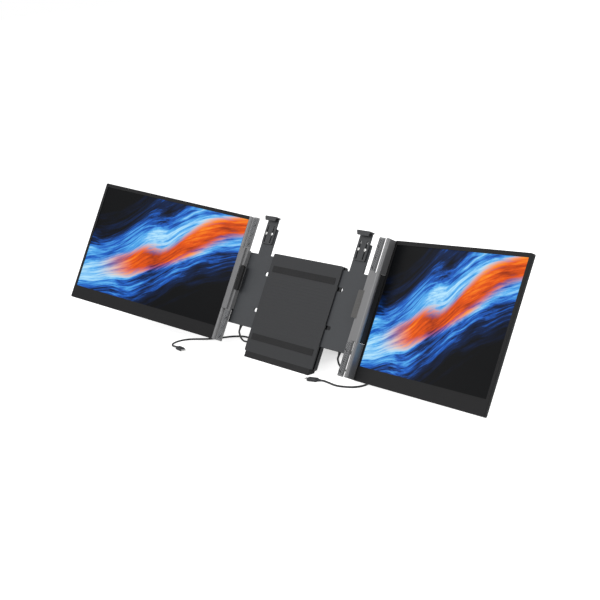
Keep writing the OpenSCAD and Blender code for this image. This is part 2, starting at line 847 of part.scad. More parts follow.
module hinge_bushes(s) {
    lower_top = block_bottom - section_gap - 0.2;
    upper_bottom = block_top + section_gap + 0.2;
    pin_top = hinge_top - pin_end;
    color("#b8964c") on_screen_hinge(s)
        for (z = [pin_end + 0.5, lower_top - bush_length, upper_bottom, pin_top - 0.5 - bush_length])
            translate([0, 0, z]) difference() {
                cylinder(r = bush_outer, h = bush_length);
                translate([0, 0, -over])
                    cylinder(r = pin_radius + pin_clearance, h = bush_length + 2 * over);
            }
}

module screen_screws(s) {
    color("silver") on_screen(s) for (p = screw_spots) translate([p[0], 0, p[1]]) {
        translate([0, bezel_plate + 0.8, 0])
            peg(screw_radius, screen_thickness - screw_head_height - bezel_plate - 0.85);
        translate([0, screen_thickness - screw_head_height - 0.1, 0])
            peg(screw_head, screw_head_height);
    }
}

module screen_bumpers(s) {
    color("#111111") on_screen(s)
        for (x = [bumper_inset, screen_width - bumper_inset],
            z = [bumper_inset + 14, screen_height - bumper_inset - 4])
            translate([x, screen_thickness, z]) peg(bumper_radius, bumper_height);
}

module power_button(s) {
    button_root = 1;
    collar = 0.7;
    color("#3a3b3d") on_screen(s) translate([power_x, 0, button_z]) {
        translate([0, screen_thickness - shell_wall - button_root, 0])
            peg(button_radius, shell_wall + button_root + button_proud);
        translate([0, screen_thickness - shell_wall - button_root, 0])
            peg(button_radius + collar, button_root - 0.2);
    }
}

module menu_rocker(s) {
    depth = shell_wall + button_proud + 0.4;
    color("#3a3b3d") on_screen(s) translate([rocker_x, screen_thickness + button_proud - depth, button_z]) {
        translate([-rocker_length / 2, 0, -rocker_height / 2])
            plate(rocker_length, depth, rocker_height, rocker_height / 2 - 0.01);
        translate([0, -1.2, 0]) peg(1, 1.3);
    }
}

// ---- Sockets, plugs and leads ----

module on_port(s) {
    leaned() sided(s) translate([port_x, port_y, port_z]) children();
}

module port_box(s) {
    color("#2b2c2e") leaned() sided(s) difference() {
        translate([port_x - port_box_width / 2, arm_back, port_z])
            plate(port_box_width, port_box_depth, port_box_height, 2);
        translate([port_x, port_y, port_z - over])
            linear_extrude(socket_depth + over) oblong(socket_width + 0.1, socket_height + 0.1);
    }
}

module usb_port(s) {
    color("silver") on_port(s) difference() {
        translate([0, 0, 0.1]) linear_extrude(socket_depth - 0.2) oblong(socket_width, socket_height);
        translate([0, 0, -over]) linear_extrude(socket_depth - 0.1)
            difference() {
                oblong(socket_width - 2 * socket_wall, socket_height - 2 * socket_wall);
                square([6.4, 0.7], center = true);
            }
        translate([0, 0, -over]) linear_extrude(over + 1)
            oblong(socket_width - 2 * socket_wall, socket_height - 2 * socket_wall);
    }
}

// A plug whose lead leaves it at the origin, along -z; its grip is above.
module plug_grip() {
    translate([0, 0, relief_length]) linear_extrude(plug_length)
        oblong(plug_width, plug_thickness);
    cylinder(r1 = lead_diameter / 2 + 0.2, r2 = plug_thickness / 2 - 0.5, h = relief_length + fit);
}

module plug_metal() {
    translate([0, 0, relief_length + plug_length]) difference() {
        linear_extrude(tip_length) oblong(tip_width, tip_height);
        translate([0, 0, 1]) linear_extrude(tip_length) oblong(tip_width - 1.2, tip_bore);
    }
}

module port_plug(s) {
    color("#232425") on_port(s) translate([0, 0, -0.4 - plug_length - relief_length]) {
        plug_grip();
        plug_metal();
    }
}

module at_laptop_plug(s) {
    spot = s == LEFT ? left_plug_spot : right_plug_spot;
    turn = s == LEFT ? left_plug_turn : right_plug_turn;
    translate(spot) rotate([0, 0, turn]) rotate([0, -90, 0]) rotate([0, 0, 90]) children();
}

module laptop_plug(s) {
    color("#232425") at_laptop_plug(s) plug_grip();
}

module plug_tip(s) {
    color("silver") at_laptop_plug(s) plug_metal();
}

// Places where the leads leave the plugs in the sockets.
lead_top_z = port_z - 0.4 - plug_length - relief_length;

// Routes of the leads' middle lines over the desk, from the laptop's plug to the socket.
right_route = [
    [150, -16.5, 3.25], [156, -14.7, 3.0], [166, -13.6, 2.0], [176, -14.2, 1.75], [187, -15.3, 1.75],
    [198, -14.5, 1.75], [208, -11.5, 1.75], [217.5, -7.5, 1.75], [225.5, -2, 1.75], [231, 6, 1.75],
    [232.5, 15, 1.75], [231, 24, 1.75], [229.5, 34, 1.75], [230, 44, 1.75], [232, 54, 1.75],
    [234, 64, 1.75], [234.5, 74, 1.75], [232.5, 84, 1.75], [227.5, 92.5, 1.75], [220, 99, 1.75],
    [211, 103, 1.75], [201, 104, 1.75], [191.5, 101.5, 1.75], [183.5, 96, 1.75], [178, 88, 1.75],
    [174.5, 79, 1.75], [172, 69.5, 1.75], [170.5, 60, 1.75], [169.3, 50.5, 2.2], [167, 42.5, 3.6],
    [163, 35.5, 6.5], [158.8, 30, 11], [155.5, 25.8, 16.5], [153.6, 23.4, 22.5], [153, 22.9, 28],
    on_desk([port_x, port_y, lead_top_z - 5]), on_desk([port_x, port_y, lead_top_z])
];
left_route = [
    [-262, -55, 3.25], [-268, -54.4, 3.0], [-277, -53, 2.0], [-286, -50, 1.75], [-293, -44, 1.75],
    [-297, -36, 1.75], [-298, -27, 1.75], [-296, -18, 1.75], [-291, -10, 1.75], [-283.5, -3, 1.75],
    [-274.5, 3.5, 1.75], [-265.5, 9.5, 1.75], [-257, 16, 1.75], [-249.5, 23, 1.75],
    [-243, 31, 1.75], [-237.5, 40, 1.75], [-232, 48.5, 1.75], [-225, 56, 1.75], [-216.5, 62, 1.75],
    [-207, 66, 1.75], [-197, 67, 1.75], [-187, 65.5, 1.75], [-178.5, 60.5, 1.75],
    [-172.5, 54, 2.1], [-167.5, 46.5, 3.4], [-163.5, 40, 5.8], [-159.5, 33.8, 9.6],
    [-156.2, 28.6, 14.6], [-154, 25, 20.2], [-153.1, 23.2, 26.2],
    on_desk([-port_x, port_y, lead_top_z - 5]), on_desk([-port_x, port_y, lead_top_z])
];

lead_sides = 8;

function unit(v) = v / norm(v);
function heading(route, i) = unit(
    route[min(i + 1, len(route) - 1)] - route[max(i - 1, 0)]);
// The ring's sideways vector is carried along the route, so the tube doesn't twist.
function carried(side, t) = unit(side - (side * t) * t);
function sides_of(route, i, side) = i == len(route) ? [] :
    let (now = carried(side, heading(route, i))) concat([now], sides_of(route, i + 1, now));

module lead_tube(route) {
    rings = len(route);
    first = unit(cross(heading(route, 0), [0, 0.2, 1]));
    sides = sides_of(route, 0, first);
    points = [
        for (i = [0 : rings - 1], k = [0 : lead_sides - 1])
            let (turn = 360 * (k + 0.5) / lead_sides, up = cross(heading(route, i), sides[i]))
                route[i] + lead_diameter / 2 * (cos(turn) * sides[i] + sin(turn) * up)
    ];
    skin = [
        for (i = [0 : rings - 2], k = [0 : lead_sides - 1])
            let (a = i * lead_sides + k, b = i * lead_sides + (k + 1) % lead_sides)
                each [[a, b, b + lead_sides], [a, b + lead_sides, a + lead_sides]]
    ];
    ends = [
        [for (k = [lead_sides - 1 : -1 : 0]) k],
        [for (k = [0 : lead_sides - 1]) (rings - 1) * lead_sides + k]
    ];
    polyhedron(points, concat(skin, ends));
}

module lead(s) {
    color("#232425") lead_tube(s == LEFT ? left_route : right_route);
}

housing_front();
housing_rear();
lid_pads();
housing_foot();
housing_screws();
kickstand_pin();
kickstand();
kickstand_foot();
arm_plate(LEFT);  // left_arm_plate
side_rail(LEFT);  // left_side_rail
grip_strips(LEFT);  // left_grip_strips
hinge_block(LEFT);  // left_hinge_block
hinge_pin(LEFT);  // left_hinge_pin
side_clip(LEFT);  // left_side_clip
side_clip_pad(LEFT);  // left_side_clip_pad
port_box(LEFT);  // left_port_box
usb_port(LEFT);  // left_usb_port
arm_screws(LEFT);  // left_arm_screws
top_clip(LEFT);  // left_top_clip
top_clip_pad(LEFT);  // left_top_clip_pad
front_frame(LEFT);  // left_front_frame
display(LEFT);  // left_display
rear_shell(LEFT);  // left_rear_shell
driver_board(LEFT);  // left_driver_board
hinge_leaves(LEFT);  // left_hinge_leaves
hinge_bushes(LEFT);  // left_hinge_bushes
screen_screws(LEFT);  // left_screen_screws
screen_bumpers(LEFT);  // left_screen_bumpers
power_button(LEFT);  // left_power_button
menu_rocker(LEFT);  // left_menu_rocker
lead(LEFT);  // left_lead
port_plug(LEFT);  // left_port_plug
laptop_plug(LEFT);  // left_laptop_plug
plug_tip(LEFT);  // left_plug_tip
arm_plate(RIGHT);  // right_arm_plate
side_rail(RIGHT);  // right_side_rail
grip_strips(RIGHT);  // right_grip_strips
hinge_block(RIGHT);  // right_hinge_block
hinge_pin(RIGHT);  // right_hinge_pin
side_clip(RIGHT);  // right_side_clip
side_clip_pad(RIGHT);  // right_side_clip_pad
port_box(RIGHT);  // right_port_box
usb_port(RIGHT);  // right_usb_port
arm_screws(RIGHT);  // right_arm_screws
top_clip(RIGHT);  // right_top_clip
top_clip_pad(RIGHT);  // right_top_clip_pad
front_frame(RIGHT);  // right_front_frame
display(RIGHT);  // right_display
rear_shell(RIGHT);  // right_rear_shell
driver_board(RIGHT);  // right_driver_board
hinge_leaves(RIGHT);  // right_hinge_leaves
hinge_bushes(RIGHT);  // right_hinge_bushes
screen_screws(RIGHT);  // right_screen_screws
screen_bumpers(RIGHT);  // right_screen_bumpers
power_button(RIGHT);  // right_power_button
menu_rocker(RIGHT);  // right_menu_rocker
lead(RIGHT);  // right_lead
port_plug(RIGHT);  // right_port_plug
laptop_plug(RIGHT);  // right_laptop_plug
plug_tip(RIGHT);  // right_plug_tip
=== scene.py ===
"""Laptop screen extender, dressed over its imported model.

The object's sizes are in millimetres, and MM turns them into metres; the camera and the stage
are in metres. The bracket and its screens are worked out in an upright frame: x to the user's
right, y back from the faces of the housing's pads, z up from the screens' bottom edge. LEAN tips
that frame back and sets it on the desk.
"""
from math import cos, pi, radians, sin

import bmesh
import bpy
from mathutils import Matrix, Vector
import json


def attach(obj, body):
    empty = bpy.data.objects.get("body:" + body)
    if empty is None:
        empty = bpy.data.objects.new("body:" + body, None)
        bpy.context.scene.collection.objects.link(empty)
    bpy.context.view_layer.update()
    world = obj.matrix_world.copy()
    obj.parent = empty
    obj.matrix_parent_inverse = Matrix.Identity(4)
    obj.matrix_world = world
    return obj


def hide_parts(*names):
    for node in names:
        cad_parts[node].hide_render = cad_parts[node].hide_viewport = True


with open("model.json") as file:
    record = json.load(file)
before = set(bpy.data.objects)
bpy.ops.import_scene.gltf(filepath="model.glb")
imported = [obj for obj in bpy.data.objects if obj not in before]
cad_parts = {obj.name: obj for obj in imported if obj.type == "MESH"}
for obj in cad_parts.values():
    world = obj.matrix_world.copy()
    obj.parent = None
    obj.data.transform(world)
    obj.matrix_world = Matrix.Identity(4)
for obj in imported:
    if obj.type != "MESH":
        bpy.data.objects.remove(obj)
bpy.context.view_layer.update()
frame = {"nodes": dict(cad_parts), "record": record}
nodes = frame["nodes"]

# ---- Main sizes ----

MM = 0.001
SIDES = {"left": -1, "right": 1}

LEAN_ANGLE = radians(29.5)
LEAN_Y, LEAN_Z = -0.6876, 13  # where the upright frame's origin comes to stand
HINGE_X, HINGE_Y = 207, -3
FOLD = {"left": radians(17.8), "right": radians(10.7)}  # inwards, at rest
SCREEN_EDGE = {"left": 3.5, "right": 1.0}  # outwards from the hinge's axis
SCREEN_FACE = {"left": 4.9, "right": 13.5}  # back from the hinge's axis

SCREEN_WIDTH = 394
SCREEN_BACK = 6.6
SIDE_BEZEL = 6
CHIN = 26
PICTURE_WIDTH = SCREEN_WIDTH - 2 * SIDE_BEZEL
LEAF_TOP = 246.7

RAIL_FRONT = -4.3
RAIL_INNER = 182.7
RAIL_WIDTH = 14.5
ARM_BACK = 6.5
HOUSING_BACK = 13.2

# ---- Frames ----


def moved(x, y, z):
    return Matrix.Translation(Vector((x, y, z)) * MM)


LEAN = moved(0, LEAN_Y, LEAN_Z) @ Matrix.Rotation(-LEAN_ANGLE, 4, "X")
FRONTWARDS = tuple(LEAN.to_3x3() @ Vector((0, -1, 0)))
FACING_BACK = Matrix.Rotation(-pi / 2, 4, "X")
FACING_FRONT = Matrix.Rotation(pi / 2, 4, "X")
BACKWARDS = Matrix.Scale(-1, 4, (0, 1, 0))


def mirrored(side):
    """The bracket's frame for one side: x runs outwards on both."""
    return LEAN @ Matrix.Scale(SIDES[side], 4, (1, 0, 0))


def at_hinge(side):
    """x outwards and z along a hinge's axis, turned with its screen."""
    return mirrored(side) @ moved(HINGE_X, HINGE_Y, 0) @ Matrix.Rotation(-FOLD[side], 4, "Z")


def at_screen(side):
    """x outwards from a screen's inner edge, y back from its face, z up."""
    return at_hinge(side) @ moved(SCREEN_EDGE[side], SCREEN_FACE[side], 0)


# ---- Camera ----

CAMERA_PLACE = (2.02775, -1.34005, 0.73434)
CAMERA_TURN = (55.393, 14.451, -6.651)  # azimuth, elevation and roll in degrees
CAMERA_LENS = 84.308
CAMERA_SENSOR = 36
CAMERA_SHIFT = (0.00317, 0.0063)
CAMERA_CLIP = (0.05, 60)


def add_camera():
    azimuth, elevation, roll = (radians(a) for a in CAMERA_TURN)
    data = bpy.data.cameras.new("camera")
    data.sensor_width = CAMERA_SENSOR
    data.lens = CAMERA_LENS
    data.shift_x, data.shift_y = CAMERA_SHIFT
    data.clip_start, data.clip_end = CAMERA_CLIP
    camera = bpy.data.objects.new("camera", data)
    bpy.context.scene.collection.objects.link(camera)
    camera.matrix_world = (
        Matrix.Translation(CAMERA_PLACE)
        @ Matrix.Rotation(azimuth, 4, "Z")
        @ Matrix.Rotation(pi / 2 - elevation, 4, "X")
        @ Matrix.Rotation(roll, 4, "Z")
    )
    bpy.context.scene.camera = camera


# ---- Shaders ----


def srgb(code):
    """A linear colour from a written one, such as '7d7d7d'."""
    parts = [int(code[i : i + 2], 16) / 255 for i in (0, 2, 4)]
    return [c / 12.92 if c <= 0.04045 else ((c + 0.055) / 1.055) ** 2.4 for c in parts] + [1.0]


class Value:
    """A socket of a finish, for sums written as Python."""

    def __init__(self, finish, socket):
        self.finish = finish
        self.socket = socket

    def math(self, operation, *terms):
        return self.finish.node("ShaderNodeMath", {"operation": operation}, *terms)

    def __add__(self, other):
        return self.math("ADD", self, other)

    def __sub__(self, other):
        return self.math("SUBTRACT", self, other)

    def __rsub__(self, other):
        return self.math("SUBTRACT", other, self)

    def __mul__(self, other):
        return self.math("MULTIPLY", self, other)

    def __truediv__(self, other):
        return self.math("DIVIDE", self, other)

    def __abs__(self):
        return self.math("ABSOLUTE", self)

    __radd__ = __add__
    __rmul__ = __mul__

    def sine(self):
        return self.math("SINE", self)

    def ramp(self, low, high):
        """0 at low, 1 at high and smooth between them; low may be the larger one."""
        smooth = {"interpolation_type": "SMOOTHSTEP"}
        return self.finish.node("ShaderNodeMapRange", smooth, self, low, high)


class Finish:
    """A named material: its shader's own numbers, and the nodes that vary it."""

    def __init__(self, name, colour, roughness, **numbers):
        self.material = bpy.data.materials.new(name)
        self.material.use_nodes = True
        self.tree = self.material.node_tree
        self.shader = self.tree.nodes["Principled BSDF"]
        self.colour = colour
        self.feed("Base Color", colour)
        self.feed("Roughness", roughness)
        for socket, number in numbers.items():
            self.feed(socket.replace("_", " "), number)

    def join(self, value, target):
        """Links a value to a socket, or sets the socket to a plain number or colour."""
        if isinstance(value, Value):
            self.tree.links.new(value.socket, target)
        else:
            target.default_value = value

    def feed(self, socket, value):
        self.join(value, self.shader.inputs[socket])

    def node(self, kind, settings, *inputs, output=0, **named):
        """Adds a node. Its settings come first, then its inputs in order or by name."""
        made = self.tree.nodes.new(kind)
        for key, setting in settings.items():
            if key == "stops":
                while len(made.color_ramp.elements) < len(setting):
                    made.color_ramp.elements.new(1)
                for element, (place, colour) in zip(made.color_ramp.elements, setting):
                    element.position, element.color = place, colour
            else:
                setattr(made, key, setting)
        for index, value in enumerate(inputs):
            self.join(value, made.inputs[index])
        for socket, value in named.items():
            self.join(value, made.inputs[socket])
        return Value(self, made.outputs[output])

    def place(self):
        """The point in the object's own frame, at rest."""
        return self.node("ShaderNodeTexCoord", {}, output="Object")

    def along(self, direction, start=(0, 0, 0)):
        """How far the point is from start along a direction, in metres."""
        offset = self.node(
            "ShaderNodeVectorMath", {"operation": "SUBTRACT"}, self.place(), tuple(start)
        )
        dot = {"operation": "DOT_PRODUCT"}
        return self.node("ShaderNodeVectorMath", dot, offset, tuple(direction), output="Value")

    def point(self, x, y, z=0.0):
        return self.node("ShaderNodeCombineXYZ", {}, x, y, z)

    def noise(self, scale, detail, where=None, roughness=0.5):
        where = where or self.place()
        return self.node(
            "ShaderNodeTexNoise", {}, where, Scale=scale, Detail=detail, Roughness=roughness
        )

    def blend(self, factor, first, second):
        made = self.tree.nodes.new("ShaderNodeMix")
        made.data_type = "RGBA"
        for index, value in ((0, factor), (6, first), (7, second)):
            self.join(value, made.inputs[index])
        return Value(self, made.outputs[2])

    def gradient(self, factor, stops):
        """Colours on a ramp, each at its place."""
        stops = [(place, srgb(code)) for place, code in stops]
        return self.node("ShaderNodeValToRGB", {"stops": stops}, factor)

    def bump(self, height, depth, strength=1.0):
        normal = self.node("ShaderNodeBump", {}, Strength=strength, Distance=depth, Height=height)
        self.feed("Normal", normal)

    def shade(self, amount, value):
        """Varies the colour by up to amount, darker where value is low."""
        dark = [c * (1 - amount) for c in self.colour[:3]] + [1.0]
        light = [c * (1 + amount) for c in self.colour[:3]] + [1.0]
        self.feed("Base Color", self.blend(value, dark, light))


# ---- Finishes ----


def moulded(name, code, roughness=0.5, gloss=0.25):
    """Moulded plastic with a fine spark-eroded grain and faint handling marks."""
    finish = Finish(name, srgb(code), roughness, Specular_IOR_Level=gloss)
    grain = finish.noise(1500, 2)
    marks = finish.noise(18, 4)
    finish.shade(0.16, grain * 0.45 + marks * 0.55)
    finish.feed("Roughness", grain * 0.12 + marks * 0.14 + (roughness - 0.13))
    finish.bump(grain, 0.05 * MM, 0.5)
    return finish


def anodised(name, code):
    """Blasted and anodised aluminium, with the drawn lines of its extrusion along it."""
    finish = Finish(name, srgb(code), 0.42, Metallic=0.4)
    across, upwards = finish.along((1, 0, 0)), finish.along((0, 0, 1))
    streaks = finish.noise(1.0, 3, finish.point(across * 420, upwards * 3))
    lines = finish.noise(1.0, 2, finish.point(across * 1700, upwards * 9, 3.0))
    blast = finish.noise(2600, 2)
    finish.shade(0.2, streaks * 0.6 + lines * 0.25 + blast * 0.15)
    finish.feed("Roughness", streaks * 0.14 + blast * 0.1 + 0.34)
    finish.bump(streaks * 0.5 + lines * 0.3 + blast * 0.2, 0.06 * MM, 0.7)
    return finish


def powder_coated(name, code):
    """Sheet metal under a coat with a fine orange peel."""
    finish = Finish(name, srgb(code), 0.48, Specular_IOR_Level=0.3)
    orange_peel = finish.noise(700, 2)
    marks = finish.noise(14, 3)
    finish.shade(0.12, orange_peel * 0.4 + marks * 0.6)
    finish.feed("Roughness", orange_peel * 0.2 + 0.38)
    finish.bump(orange_peel, 0.05 * MM, 0.6)
    return finish


def woven_panel(name, code):
    """A panel with a fine basket weave pressed into it."""
    finish = Finish(name, srgb(code), 0.55, Specular_IOR_Level=0.2)
    across, upwards = finish.along((1, 0, 0)) * 2600, finish.along((0, 0, 1)) * 2900
    weave = (across.sine() * upwards.sine()) * 0.5 + 0.5
    marks = finish.noise(11, 3)
    finish.shade(0.3, weave * 0.65 + marks * 0.35)
    finish.feed("Roughness", 0.62 - weave * 0.18)
    finish.bump(weave, 0.12 * MM, 0.8)
    return finish


def turned_metal(name, code, roughness):
    """Bare metal with the fine lines that a lathe leaves."""
    finish = Finish(name, srgb(code), roughness, Metallic=1.0)
    round_it = finish.point(finish.along((0, 0, 1)) * 2600, finish.along((1, 0, 0)) * 60)
    lines = finish.noise(1.0, 3, round_it)
    finish.shade(0.18, lines)
    finish.feed("Roughness", lines * 0.2 + (roughness - 0.1))
    finish.bump(lines, 0.02 * MM, 0.5)
    return finish


def soft_rubber(name, code, grain=900):
    """Matt rubber with a fine grain and dust that sits in it."""
    finish = Finish(name, srgb(code), 0.82, Specular_IOR_Level=0.3)
    fine = finish.noise(grain, 4)
    dust = finish.noise(35, 4)
    finish.shade(0.3, fine * 0.4 + dust * 0.6)
    finish.feed("Roughness", dust * 0.16 + 0.74)
    finish.bump(fine, 0.08 * MM, 0.6)
    return finish


def braided_rubber(name, groove_shade, crest, worn_crest):
    """Rubber strands, with painted shade down between them, and a little polished on top."""
    finish = Finish(name, srgb(crest), 0.7, Specular_IOR_Level=0.3)
    over_rail = finish.along(FRONTWARDS, LEAN @ Vector((0, RAIL_FRONT * MM, 0)))
    # 0 down between the strands and 1 on their tops: the mask of the painted shade
    height = over_rail.ramp(0.2 * MM, 0.5 * MM)
    fine = finish.noise(1300, 3)
    top = finish.blend(fine, srgb(crest), srgb(worn_crest))
    # Painted shade: the groove colour fills the hollows between strands, the crest colours their tops
    finish.feed("Base Color", finish.blend(height, srgb(groove_shade), top))
    finish.feed("Roughness", 0.85 - height * 0.22 + fine * 0.08)
    finish.bump(fine, 0.06 * MM, 0.5)
    return finish


def circuit_board(name):
    """Green solder mask with its tracks and their plated pads."""
    mask, track, plating = srgb("1d5a33"), srgb("2f7a48"), srgb("c8b070")
    finish = Finish(name, mask, 0.35)
    cells = finish.node(
        "ShaderNodeTexVoronoi", {"distance": "MANHATTAN"}, finish.place(), Scale=420.0
    )
    pads = cells.ramp(0.12, 0.1)
    tracks = finish.node("ShaderNodeTexBrick", {}, finish.place(), Scale=260.0, output="Fac")
    etched = finish.blend(tracks * 0.5, mask, track)
    finish.feed("Base Color", finish.blend(pads, etched, plating))
    finish.feed("Roughness", 0.45 - tracks * 0.15)
    finish.bump(tracks, 0.03 * MM)
    return finish


SILK_BLUES = [
    (0.0, "020304"),
    (0.25, "0a2450"),
    (0.5, "1d5fc4"),
    (0.75, "55aef0"),
    (1.0, "b9e9ff"),
]
FLAME_REDS = [(0.0, "7a1c04"), (0.45, "e8560a"), (0.75, "ff8a1c"), (1.0, "ffc65a")]


def glowing_picture(side):
    """The display: bands of coloured silk that cross it from corner to corner."""
    finish = Finish(side + "_picture", srgb("040405"), 0.38, Specular_IOR_Level=0.04)
    screen = at_screen(side)
    axes = screen.to_3x3()
    rightwards = (axes @ Vector((1, 0, 0))).normalized() * SIDES[side]
    upwards = (axes @ Vector((0, 0, 1))).normalized()
    left_edge = SIDE_BEZEL if side == "right" else SCREEN_WIDTH - SIDE_BEZEL
    corner = screen @ (Vector((left_edge, 0, CHIN)) * MM)
    u = finish.along(rightwards, corner) / (PICTURE_WIDTH * MM)
    v = finish.along(upwards, corner) / (PICTURE_WIDTH * MM)

    # The silk's own directions: flow runs along its bands, across from one band to the next.
    sway = finish.noise(1.7, 2, finish.point(u, v, 4.0)) - 0.5
    flow = u * 0.86 + v * 0.5
    across = v * 0.88 - u * 0.34 + 0.01 + (flow * 5.2).sine() * 0.055 + sway * 0.3
    folds = finish.noise(1.0, 5, finish.point(flow * 2.6 + sway * 2, across * 21, 1.0), 0.62)
    threads = finish.noise(1.0, 4, finish.point(flow * 7, across * 95, 7.0), 0.7)
    silk = folds * 0.8 + threads * 0.35

    band = 1 - abs(across - 0.12) / 0.34
    lit = (silk - 0.58 + band * 0.42).ramp(0.02, 0.5)
    blue = finish.gradient(lit * (band * 1.6).ramp(0.0, 1.0), SILK_BLUES)
    core = 1 - abs(across - 0.1 - (flow * 7).sine() * 0.03) / 0.085
    warm = (core + silk * 1.4 - 0.75).ramp(0.25, 0.75) * (flow * 1.25).ramp(0.15, 0.5)
    flame = finish.gradient(silk.ramp(0.35, 0.85), FLAME_REDS)
    finish.feed("Emission Color", finish.blend(warm, blue, flame))
    finish.feed("Emission Strength", 1.0)
    return finish


FINISHES = {  # by the record's material slots
    "arm_metal": powder_coated("arm_coat", "37393c"),
    "rail_metal": anodised("rail_anodising", "757576"),
    "hinge_metal": anodised("hinge_anodising", "727273"),
    # the first colour is painted shade for the grooves between the strands
    "grip_rubber": braided_rubber("braided_grip", "252627", "6d6e70", "8b8c8e"),
    "rubber": soft_rubber("black_rubber", "1e1e1f"),
    "steel": turned_metal("plain_steel", "c6c6c4", 0.3),
    "bronze": turned_metal("sintered_bronze", "b08d57", 0.45),
    "housing_plastic": moulded("housing_plastic", "28292b"),
    "clip_plastic": moulded("clip_plastic", "3a3b3d", 0.45),
    "stand_plastic": moulded("stand_plastic", "313234"),
    "bezel_plastic": moulded("bezel_plastic", "212122", 0.58, gloss=0.08),
    "shell_plastic": moulded("shell_plastic", "202122", gloss=0.2),
    "button_plastic": moulded("button_plastic", "46474a", 0.35, gloss=0.4),
    "lead_jacket": soft_rubber("lead_jacket", "343536", grain=2200),
    "plug_plastic": moulded("plug_plastic", "333436"),
    "board": circuit_board("board"),
}
WOVEN_BACK = woven_panel("woven_back", "34363a")
# One clip part in two colours: the left one painted dark as shade, the right one painted lighter as
# lit
SIDE_CLIPS_LIT_AND_SHADED = {
    "left": moulded("side_clip_painted_shade", "131314", gloss=0.12),
    "right": moulded("side_clip_painted_light", "525150", 0.45),
}
PICTURES = {side: glowing_picture(side) for side in SIDES}


def paint(thing, finish):
    thing.data.materials.clear()
    thing.data.materials.append(finish.material)


# ---- Pieces ----

SMOOTH_UP_TO = radians(38)


def add_piece(name, mesh, body, slot, finish=None, instead_of=()):
    """A piece of this scene: its body, the record's slot and the nodes it stands for."""
    piece = bpy.data.objects.new(name, mesh)
    bpy.context.scene.collection.objects.link(piece)
    paint(piece, finish or FINISHES[slot])
    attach(piece, body)
    if instead_of:
        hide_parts(*instead_of)
    return piece


def finish_mesh(name, shape, matrix=Matrix.Identity(4)):
    """Places a bmesh in the object's frame, with its faces outwards and smooth."""
    shape.transform(matrix)
    bmesh.ops.recalc_face_normals(shape, faces=shape.faces)
    mesh = bpy.data.meshes.new(name)
    shape.to_mesh(mesh)
    shape.free()
    for face in mesh.polygons:
        face.use_smooth = True
    mesh.set_sharp_from_angle(angle=SMOOTH_UP_TO)
    return mesh


def close_band(shape, near, far):
    """Faces between two rings of as many points."""
    for i, vertex in enumerate(near):
        j = (i + 1) % len(near)
        shape.faces.new((vertex, near[j], far[j], far[i]))


def loft(shape, sections, ring):
    """Joins rings of points into a closed skin; ring(section) gives one ring."""
    rings = [[shape.verts.new(p) for p in ring(section)] for section in sections]
    for near, far in zip(rings, rings[1:]):
        close_band(shape, near, far)
    shape.faces.new(reversed(rings[0]))
    shape.faces.new(rings[-1])


# ---- Leads ----

LEAD_DIAMETER = 3.5
SOCKET_X, SOCKET_Y = 153, 11
LEAD_TOP = 33.2  # where it leaves the plug in the arm's socket
LEAD_DROP = 5  # how far it runs straight down from there
FREE_PLUG_TURN = {"left": radians(174), "right": radians(16.5)}
RIGHT_ROUTE = [
    (150, -16.5, 3.25), (156, -14.7, 3.0), (166, -13.6, 2.0), (176, -14.2, 1.75),
    (187, -15.3, 1.75), (198, -14.5, 1.75), (208, -11.5, 1.75), (217.5, -7.5, 1.75),
    (225.5, -2, 1.75), (231, 6, 1.75), (232.5, 15, 1.75), (231, 24, 1.75), (229.5, 34, 1.75),
    (230, 44, 1.75), (232, 54, 1.75), (234, 64, 1.75), (234.5, 74, 1.75), (232.5, 84, 1.75),
    (227.5, 92.5, 1.75), (220, 99, 1.75), (211, 103, 1.75), (201, 104, 1.75),
    (191.5, 101.5, 1.75), (183.5, 96, 1.75), (178, 88, 1.75), (174.5, 79, 1.75),
    (172, 69.5, 1.75), (170.5, 60, 1.75), (169.3, 50.5, 2.2), (167, 42.5, 3.6),
    (163, 35.5, 6.5), (158.8, 30, 11), (155.5, 25.8, 16.5), (153.6, 23.4, 22.5),
    (153, 22.9, 28),
]
LEFT_ROUTE = [
    (-262, -55, 3.25), (-268, -54.4, 3.0), (-277, -53, 2.0), (-286, -50, 1.75),
    (-293, -44, 1.75), (-297, -36, 1.75), (-298, -27, 1.75), (-296, -18, 1.75),
    (-291, -10, 1.75), (-283.5, -3, 1.75), (-274.5, 3.5, 1.75), (-265.5, 9.5, 1.75),
    (-257, 16, 1.75), (-249.5, 23, 1.75), (-243, 31, 1.75), (-237.5, 40, 1.75),
    (-232, 48.5, 1.75), (-225, 56, 1.75), (-216.5, 62, 1.75), (-207, 66, 1.75),
    (-197, 67, 1.75), (-187, 65.5, 1.75), (-178.5, 60.5, 1.75), (-172.5, 54, 2.1),
    (-167.5, 46.5, 3.4), (-163.5, 40, 5.8), (-159.5, 33.8, 9.6), (-156.2, 28.6, 14.6),
    (-154, 25, 20.2), (-153.1, 23.2, 26.2),
]
ROUTES = {"left": LEFT_ROUTE, "right": RIGHT_ROUTE}

PLUG_WIDTH, PLUG_THICKNESS, PLUG_LENGTH = 11.5, 6.5, 20.0
PLUG_STEPS = 28
RELIEF_RINGS, RELIEF_PITCH = 4, 1.6
GROOVES, GROOVE_PITCH, GROOVE_DEPTH = 5, 2.2, 0.35


